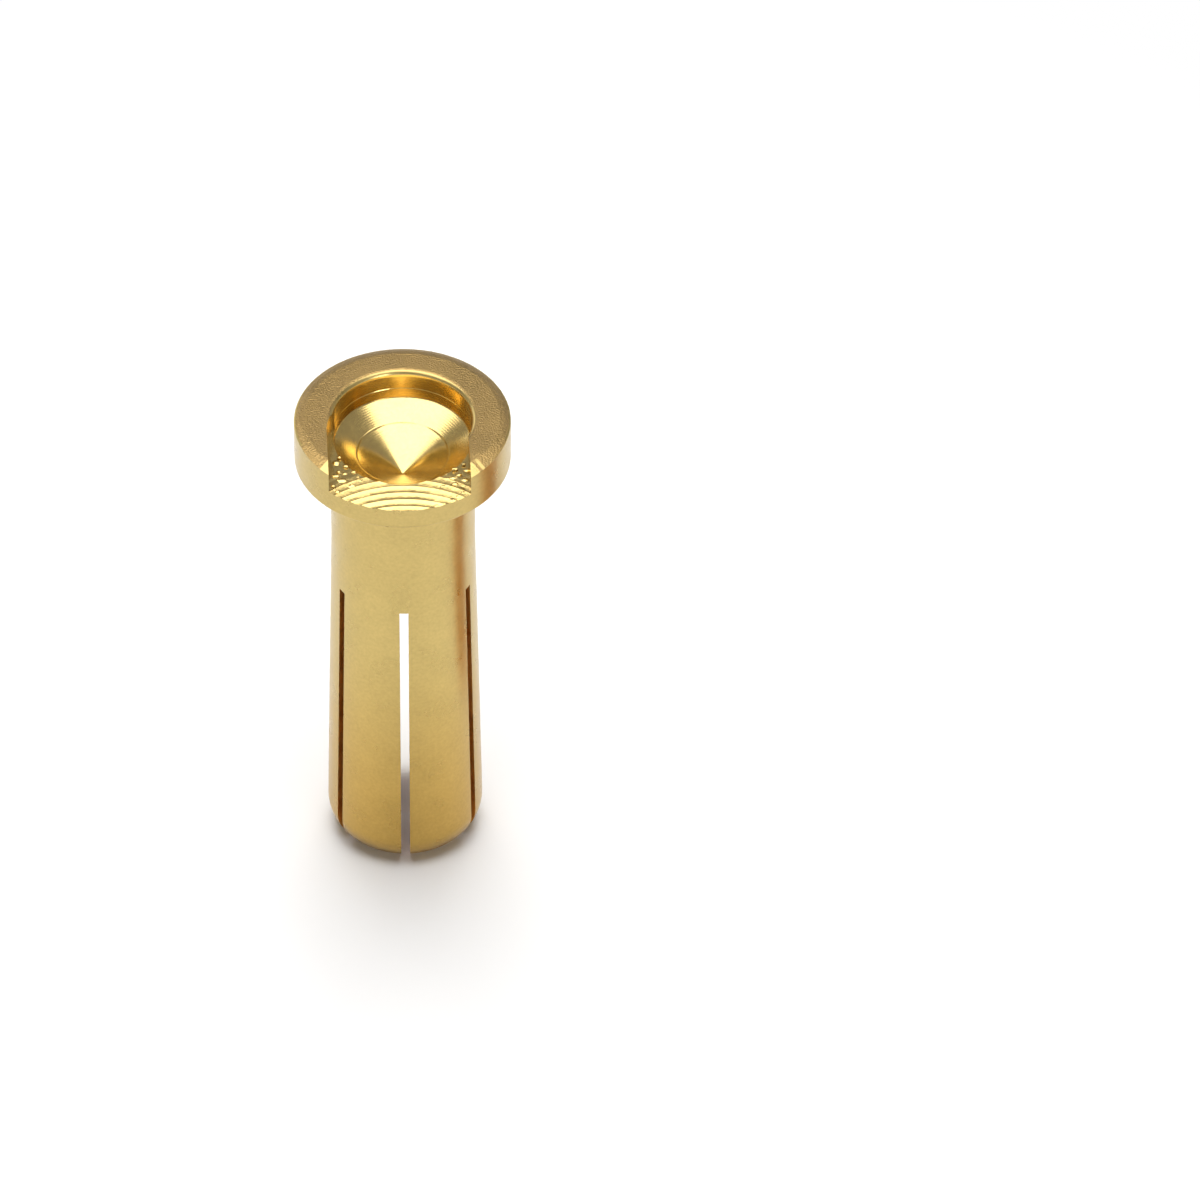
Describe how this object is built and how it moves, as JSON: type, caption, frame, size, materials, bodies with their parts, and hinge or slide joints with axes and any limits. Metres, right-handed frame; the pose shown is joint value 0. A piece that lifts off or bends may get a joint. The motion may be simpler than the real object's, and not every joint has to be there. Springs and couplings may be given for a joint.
{
  "type": "male bullet plug",
  "caption": "Round male bullet plug for a battery lead: slotted sprung pin with a rounded tip, under a wide head with a drilled solder cup and a side wire slot.",
  "frame": {"origin": "centre of the tip's end face, on the surface that the plug stands on", "axes": "+Z along the pin's axis from the tip to the head, -Y the way the wire slot opens, +X to the right when looking into the slot"},
  "size_m": [0.0072, 0.0072, 0.018],
  "materials": {
    "gold_plate": "satin gold plating on turned brass"
  },
  "bodies": {
    "root": {"bullet_plug": "gold_plate"}
  },
  "joints": []
}
